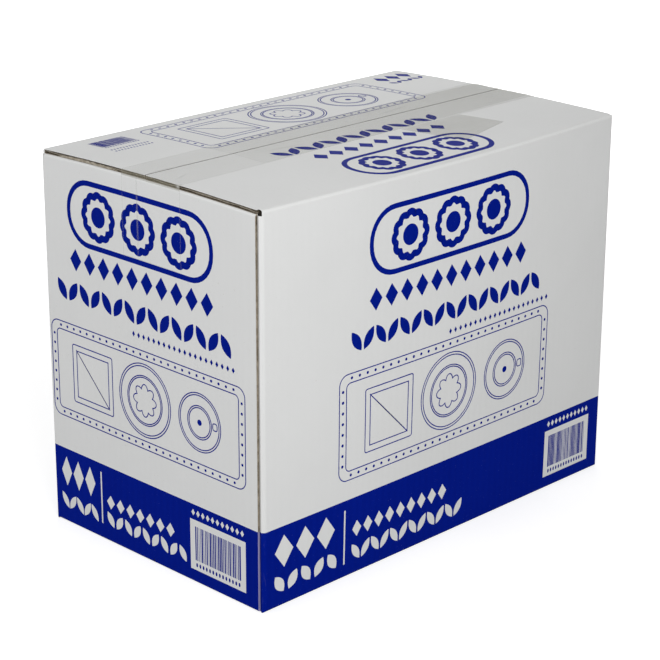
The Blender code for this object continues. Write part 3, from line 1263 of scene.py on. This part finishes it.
def closeSheets(bm, under, over):
    # Faces of both sides of a film, and its rim
    rows, columns = len(under), len(under[0])
    for sheet in (under, over):
        for i in range(rows - 1):
            for j in range(columns - 1):
                bm.faces.new((sheet[i][j], sheet[i + 1][j], sheet[i + 1][j + 1], sheet[i][j + 1]))
    rim = [(i, 0) for i in range(rows)] + [(rows - 1, j) for j in range(1, columns)]
    rim += [(i, columns - 1) for i in range(rows - 2, -1, -1)] + [(0, j) for j in range(columns - 2, 0, -1)]
    for (i, j), (k, m) in zip(rim, rim[1:] + rim[:1]):
        bm.faces.new((under[i][j], under[k][m], over[k][m], over[i][j]))
    bmesh.ops.recalc_face_normals(bm, faces=bm.faces)


strips = {  # with each strip's haze at its two ends, heavier towards +X as a painted shade; the patch's heavy haze is a painted shade too
    "seam": {"start": None, "offsets": (-0.0070, 0.0), "hazeAndShade": (0.26, 0.31)},
    "second": {"start": -0.125, "offsets": (-0.0030, -0.0060), "hazeAndShade": (0.03, 0.45)},
    "patch": {"fromMiddle": 0.126, "fromFront": 0.051, "angle": 13, "length": 0.075, "hazeAndShade": 0.66,
              "steps": 12, "patternShift": 0.2},
}

# Each wrinkle runs between two places on the film, with its breadth, its height and its painted highlight
seamTape = makeFilmStrip("seamTape", strips["seam"], film["clearance"], (
    ((-0.004, 0.017), (0.076, 0.0172), 0.0007, 0.00018, 0.8),
    ((0.0685, -0.0345), (0.0735, -0.0335), 0.0020, 0.00010, 2.0),
    ((0.076, 0.008), (0.104, 0.0075), 0.0012, 0.00030, 0.8),
    ((0.092, 0.0060), (0.128, 0.0062), 0.0010, 0.00026, 0.6),
    ((0.080, -0.022), (0.100, -0.014), 0.0009, 0.00022, 0.5),
    ((0.120, 0.006), (0.175, 0.004), 0.0014, 0.00020, 0.35)))
secondTape = makeFilmStrip("secondTape", strips["second"], 2 * film["clearance"] + film["thickness"], (
    ((0.020, -0.010), (0.070, -0.016), 0.0014, 0.00020, 0.3),
    ((0.180, 0.012), (0.240, 0.020), 0.0013, 0.00022, 0.3)))


def makePatch():
    # The short crooked piece beside the strips
    patch = strips["patch"]
    turn = math.radians(patch["angle"])
    corner = Vector((patch["fromMiddle"], -halfWidth + patch["fromFront"]))
    back = -Vector((math.cos(turn), math.sin(turn)))
    across = Vector((-math.sin(turn), math.cos(turn)))
    columns = rimmed(0.0, patch["length"], 2 * film["step"])

    def stripsFront(x):
        share = (x + halfLength) / length
        middles = [a + (b - a) * share for a, b in (strips["seam"]["offsets"], strips["second"]["offsets"])]
        return min(middles) - film["width"] / 2 - film["clearance"]

    rows = []
    for i, along in enumerate(columns):
        near = corner + back * along
        reach = (stripsFront(near.x) - near.y) / math.cos(turn)
        row = []
        for j, away in enumerate(rimmed(0.0, reach, reach / patch["steps"])):
            spot = near + across * away
            place = (spot.x, min(spot.y, stripsFront(spot.x)), height + film["clearance"])
            # a painted highlight along the patch's cut edges
            light = film["rimHighlight"] * (j < 2 or atRim(i, columns))
            onStrip = (along, away + patch["patternShift"], 0.0)
            row.append((place, (0, 1), onStrip, (patch["hazeAndShade"], 0.0, light)))
        rows.append(row)
    return makeFilmPiece("tapePatch", rows)


tapePatch = makePatch()
print("tape laid")


# What each piece stands for

for piece, slot, replaced in (
    (cartonBoard, "board", "carton"),
    (seamTape, "tape", "seam_tape"),
    (secondTape, "tape", "second_tape"),
    (tapePatch, "tape", "tape_patch"),
    (rawEdges, "board", None),
    *((piece, "board", None) for piece in prints),
):
    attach(piece, "root")
    if replaced:
        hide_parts(replaced)


# Floor, light and camera

studio = {
    "floorSize": 8.0,
    "floorBelow": 0.0002,
    "floorColour": 0.22,
    "floorSeen": 0.50,
    "glowNear": 0.67,
    "glowFar": 0.95,
    "glowFrom": 0.35,
    "glowTo": 1.3,
    "worldLight": 0.49,
    "lampAim": (-0.05, -0.05, 0.18),
    "lamps": {  # place, size, power and colour
        "keyLamp": ((-0.88, -1.36, 0.78), 0.6, 16.8, (1.0, 1.0, 1.0)),
        "fillLamp": ((-1.54, 0.89, 0.49), 0.9, 7.0, (1.0, 1.0, 1.01)),
        "topLamp": ((0.0, -0.3, 2.0), 1.2, 0.3, (1.0, 1.0, 0.90)),
        "backLamp": ((1.6, 1.6, 0.42), 1.2, 22.0, (1.0, 1.0, 1.0)),
    },
    "cameraPlace": (-1.27644, -1.25896, 0.79382),
    "cameraForward": (0.66927, 0.66357, -0.33430),
    "cameraRoll": 0.203,
    "lens": 114.52,
}


def seenDirectly(start):
    # 1 for the rays that show the background: straight, mirrored or seen through
    rays = [start.make("ShaderNodeLightPath", output=name) for name in
            ("Is Camera Ray", "Is Glossy Ray", "Is Transmission Ray")]
    return larger(larger(rays[0], rays[1]), rays[2])


def makeFloor():
    half = studio["floorSize"] / 2
    bm = bmesh.new()
    corners = ((-half, -half), (half, -half), (half, half), (-half, half))
    bm.faces.new([bm.verts.new((x, y, -studio["floorBelow"])) for x, y in corners])
    finish, start = newFinish("paleFloor")
    seen = seenDirectly(start)
    shades = [(studio[name],) * 3 for name in ("floorColour", "floorSeen")]
    paint = start.make("ShaderNodeBsdfDiffuse", sockets={"Color": tinted(seen, *shades)})
    place = start.make("ShaderNodeTexCoord", output="Object")
    away = start.make("ShaderNodeVectorMath", {"operation": "LENGTH"}, {0: place}, output="Value")
    rise = ramped(away, studio["glowFrom"], studio["glowTo"]) * (studio["glowFar"] - studio["glowNear"])
    glow = start.make("ShaderNodeEmission", sockets={"Strength": seen * (studio["glowNear"] + rise)})
    both = start.make("ShaderNodeAddShader", sockets={0: paint, 1: glow})
    start.make("ShaderNodeOutputMaterial", sockets={"Surface": both})
    floor = newPiece("floor", bm, [finish], smooth=False)


def makeWorld():
    world = bpy.data.worlds.new("studio")
    world.use_nodes = True
    world.node_tree.nodes.clear()
    start = Wire(world.node_tree)
    direct = seenDirectly(start)
    strength = direct + (1 - direct) * studio["worldLight"]
    light = start.make("ShaderNodeBackground", sockets={"Color": (1.0, 1.0, 1.0, 1.0), "Strength": strength})
    start.make("ShaderNodeOutputWorld", sockets={"Surface": light})
    scene.world = world


def makeLamp(name, place, size, power, colour):
    lamp = bpy.data.lights.new(name, "AREA")
    lamp.size = size
    lamp.energy = power
    lamp.color = colour
    holder = bpy.data.objects.new(name, lamp)
    holder.location = place
    way = Vector(studio["lampAim"]) - Vector(place)
    holder.rotation_euler = way.to_track_quat("-Z", "Y").to_euler()
    scene.collection.objects.link(holder)


def makeCamera():
    forward = Vector(studio["cameraForward"]).normalized()
    level = forward.cross(Vector((0, 0, 1))).normalized()
    upright = level.cross(forward)
    roll = math.radians(studio["cameraRoll"])
    right = level * math.cos(roll) + upright * math.sin(roll)
    up = upright * math.cos(roll) - level * math.sin(roll)
    lens = bpy.data.cameras.new("camera")
    lens.lens = studio["lens"]
    camera = bpy.data.objects.new("camera", lens)
    turn = Matrix((right, up, -forward)).transposed().to_4x4()
    camera.matrix_world = Matrix.Translation(studio["cameraPlace"]) @ turn
    scene.collection.objects.link(camera)
    scene.camera = camera


makeFloor()
makeWorld()
for name, lamp in studio["lamps"].items():
    makeLamp(name, *lamp)
makeCamera()
scene.view_settings.view_transform = "Standard"
scene.cycles.transparent_max_bounces = 24  # light crosses four film faces each way
print("studio lit")
